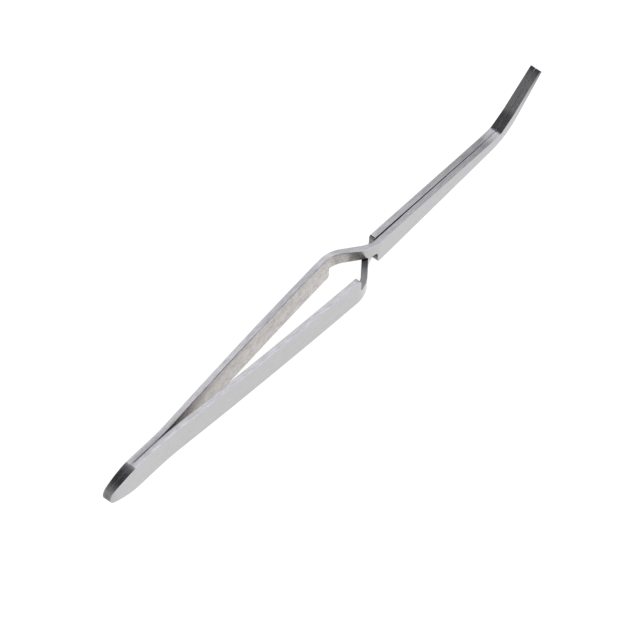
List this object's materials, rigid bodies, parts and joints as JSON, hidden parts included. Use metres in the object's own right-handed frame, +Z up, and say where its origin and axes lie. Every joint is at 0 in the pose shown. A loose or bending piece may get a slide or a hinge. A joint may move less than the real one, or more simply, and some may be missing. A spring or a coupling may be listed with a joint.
{
  "type": "cross-action tongs",
  "caption": "Slim steel cross-action spring tongs: two strips joined at a rounded tail, crossing at half-lap necks, with raised tapering tips that open when squeezed.",
  "frame": {"origin": "under the middle of the tongs' outline, on the surface that the strips' lower edges rest on", "axes": "+X from the rounded tail to the tips, +Y towards the left handle, +Z up"},
  "size_m": [0.141, 0.0106, 0.0131],
  "materials": {
    "strip_steel": "satin, brushed along the strip",
    "weld_steel": "ground flush"
  },
  "bodies": {
    "tail": {"left_blade_tail": "strip_steel", "right_blade_tail": "strip_steel", "tail_weld": "weld_steel"},
    "left_arm": {"left_blade_arm": "strip_steel"},
    "right_arm": {"right_blade_arm": "strip_steel"}
  },
  "joints": [
    {"name": "left_flex", "type": "hinge", "parent": "tail", "child": "left_arm", "pos_m": [-0.0483, 0.001, 0], "axis": [0, 0, -1], "range_deg": [0, 3.5], "stiffness_Nm_per_rad": 11, "springref_deg": -0.57},
    {"name": "right_flex", "type": "hinge", "parent": "tail", "child": "right_arm", "pos_m": [-0.0483, -0.001, 0], "axis": [0, 0, 1], "range_deg": [0, 3.5], "stiffness_Nm_per_rad": 11, "springref_deg": -0.57}
  ],
  "couplings": [
    {"joint": "right_flex", "follows": "left_flex", "ratio": 1}
  ]
}
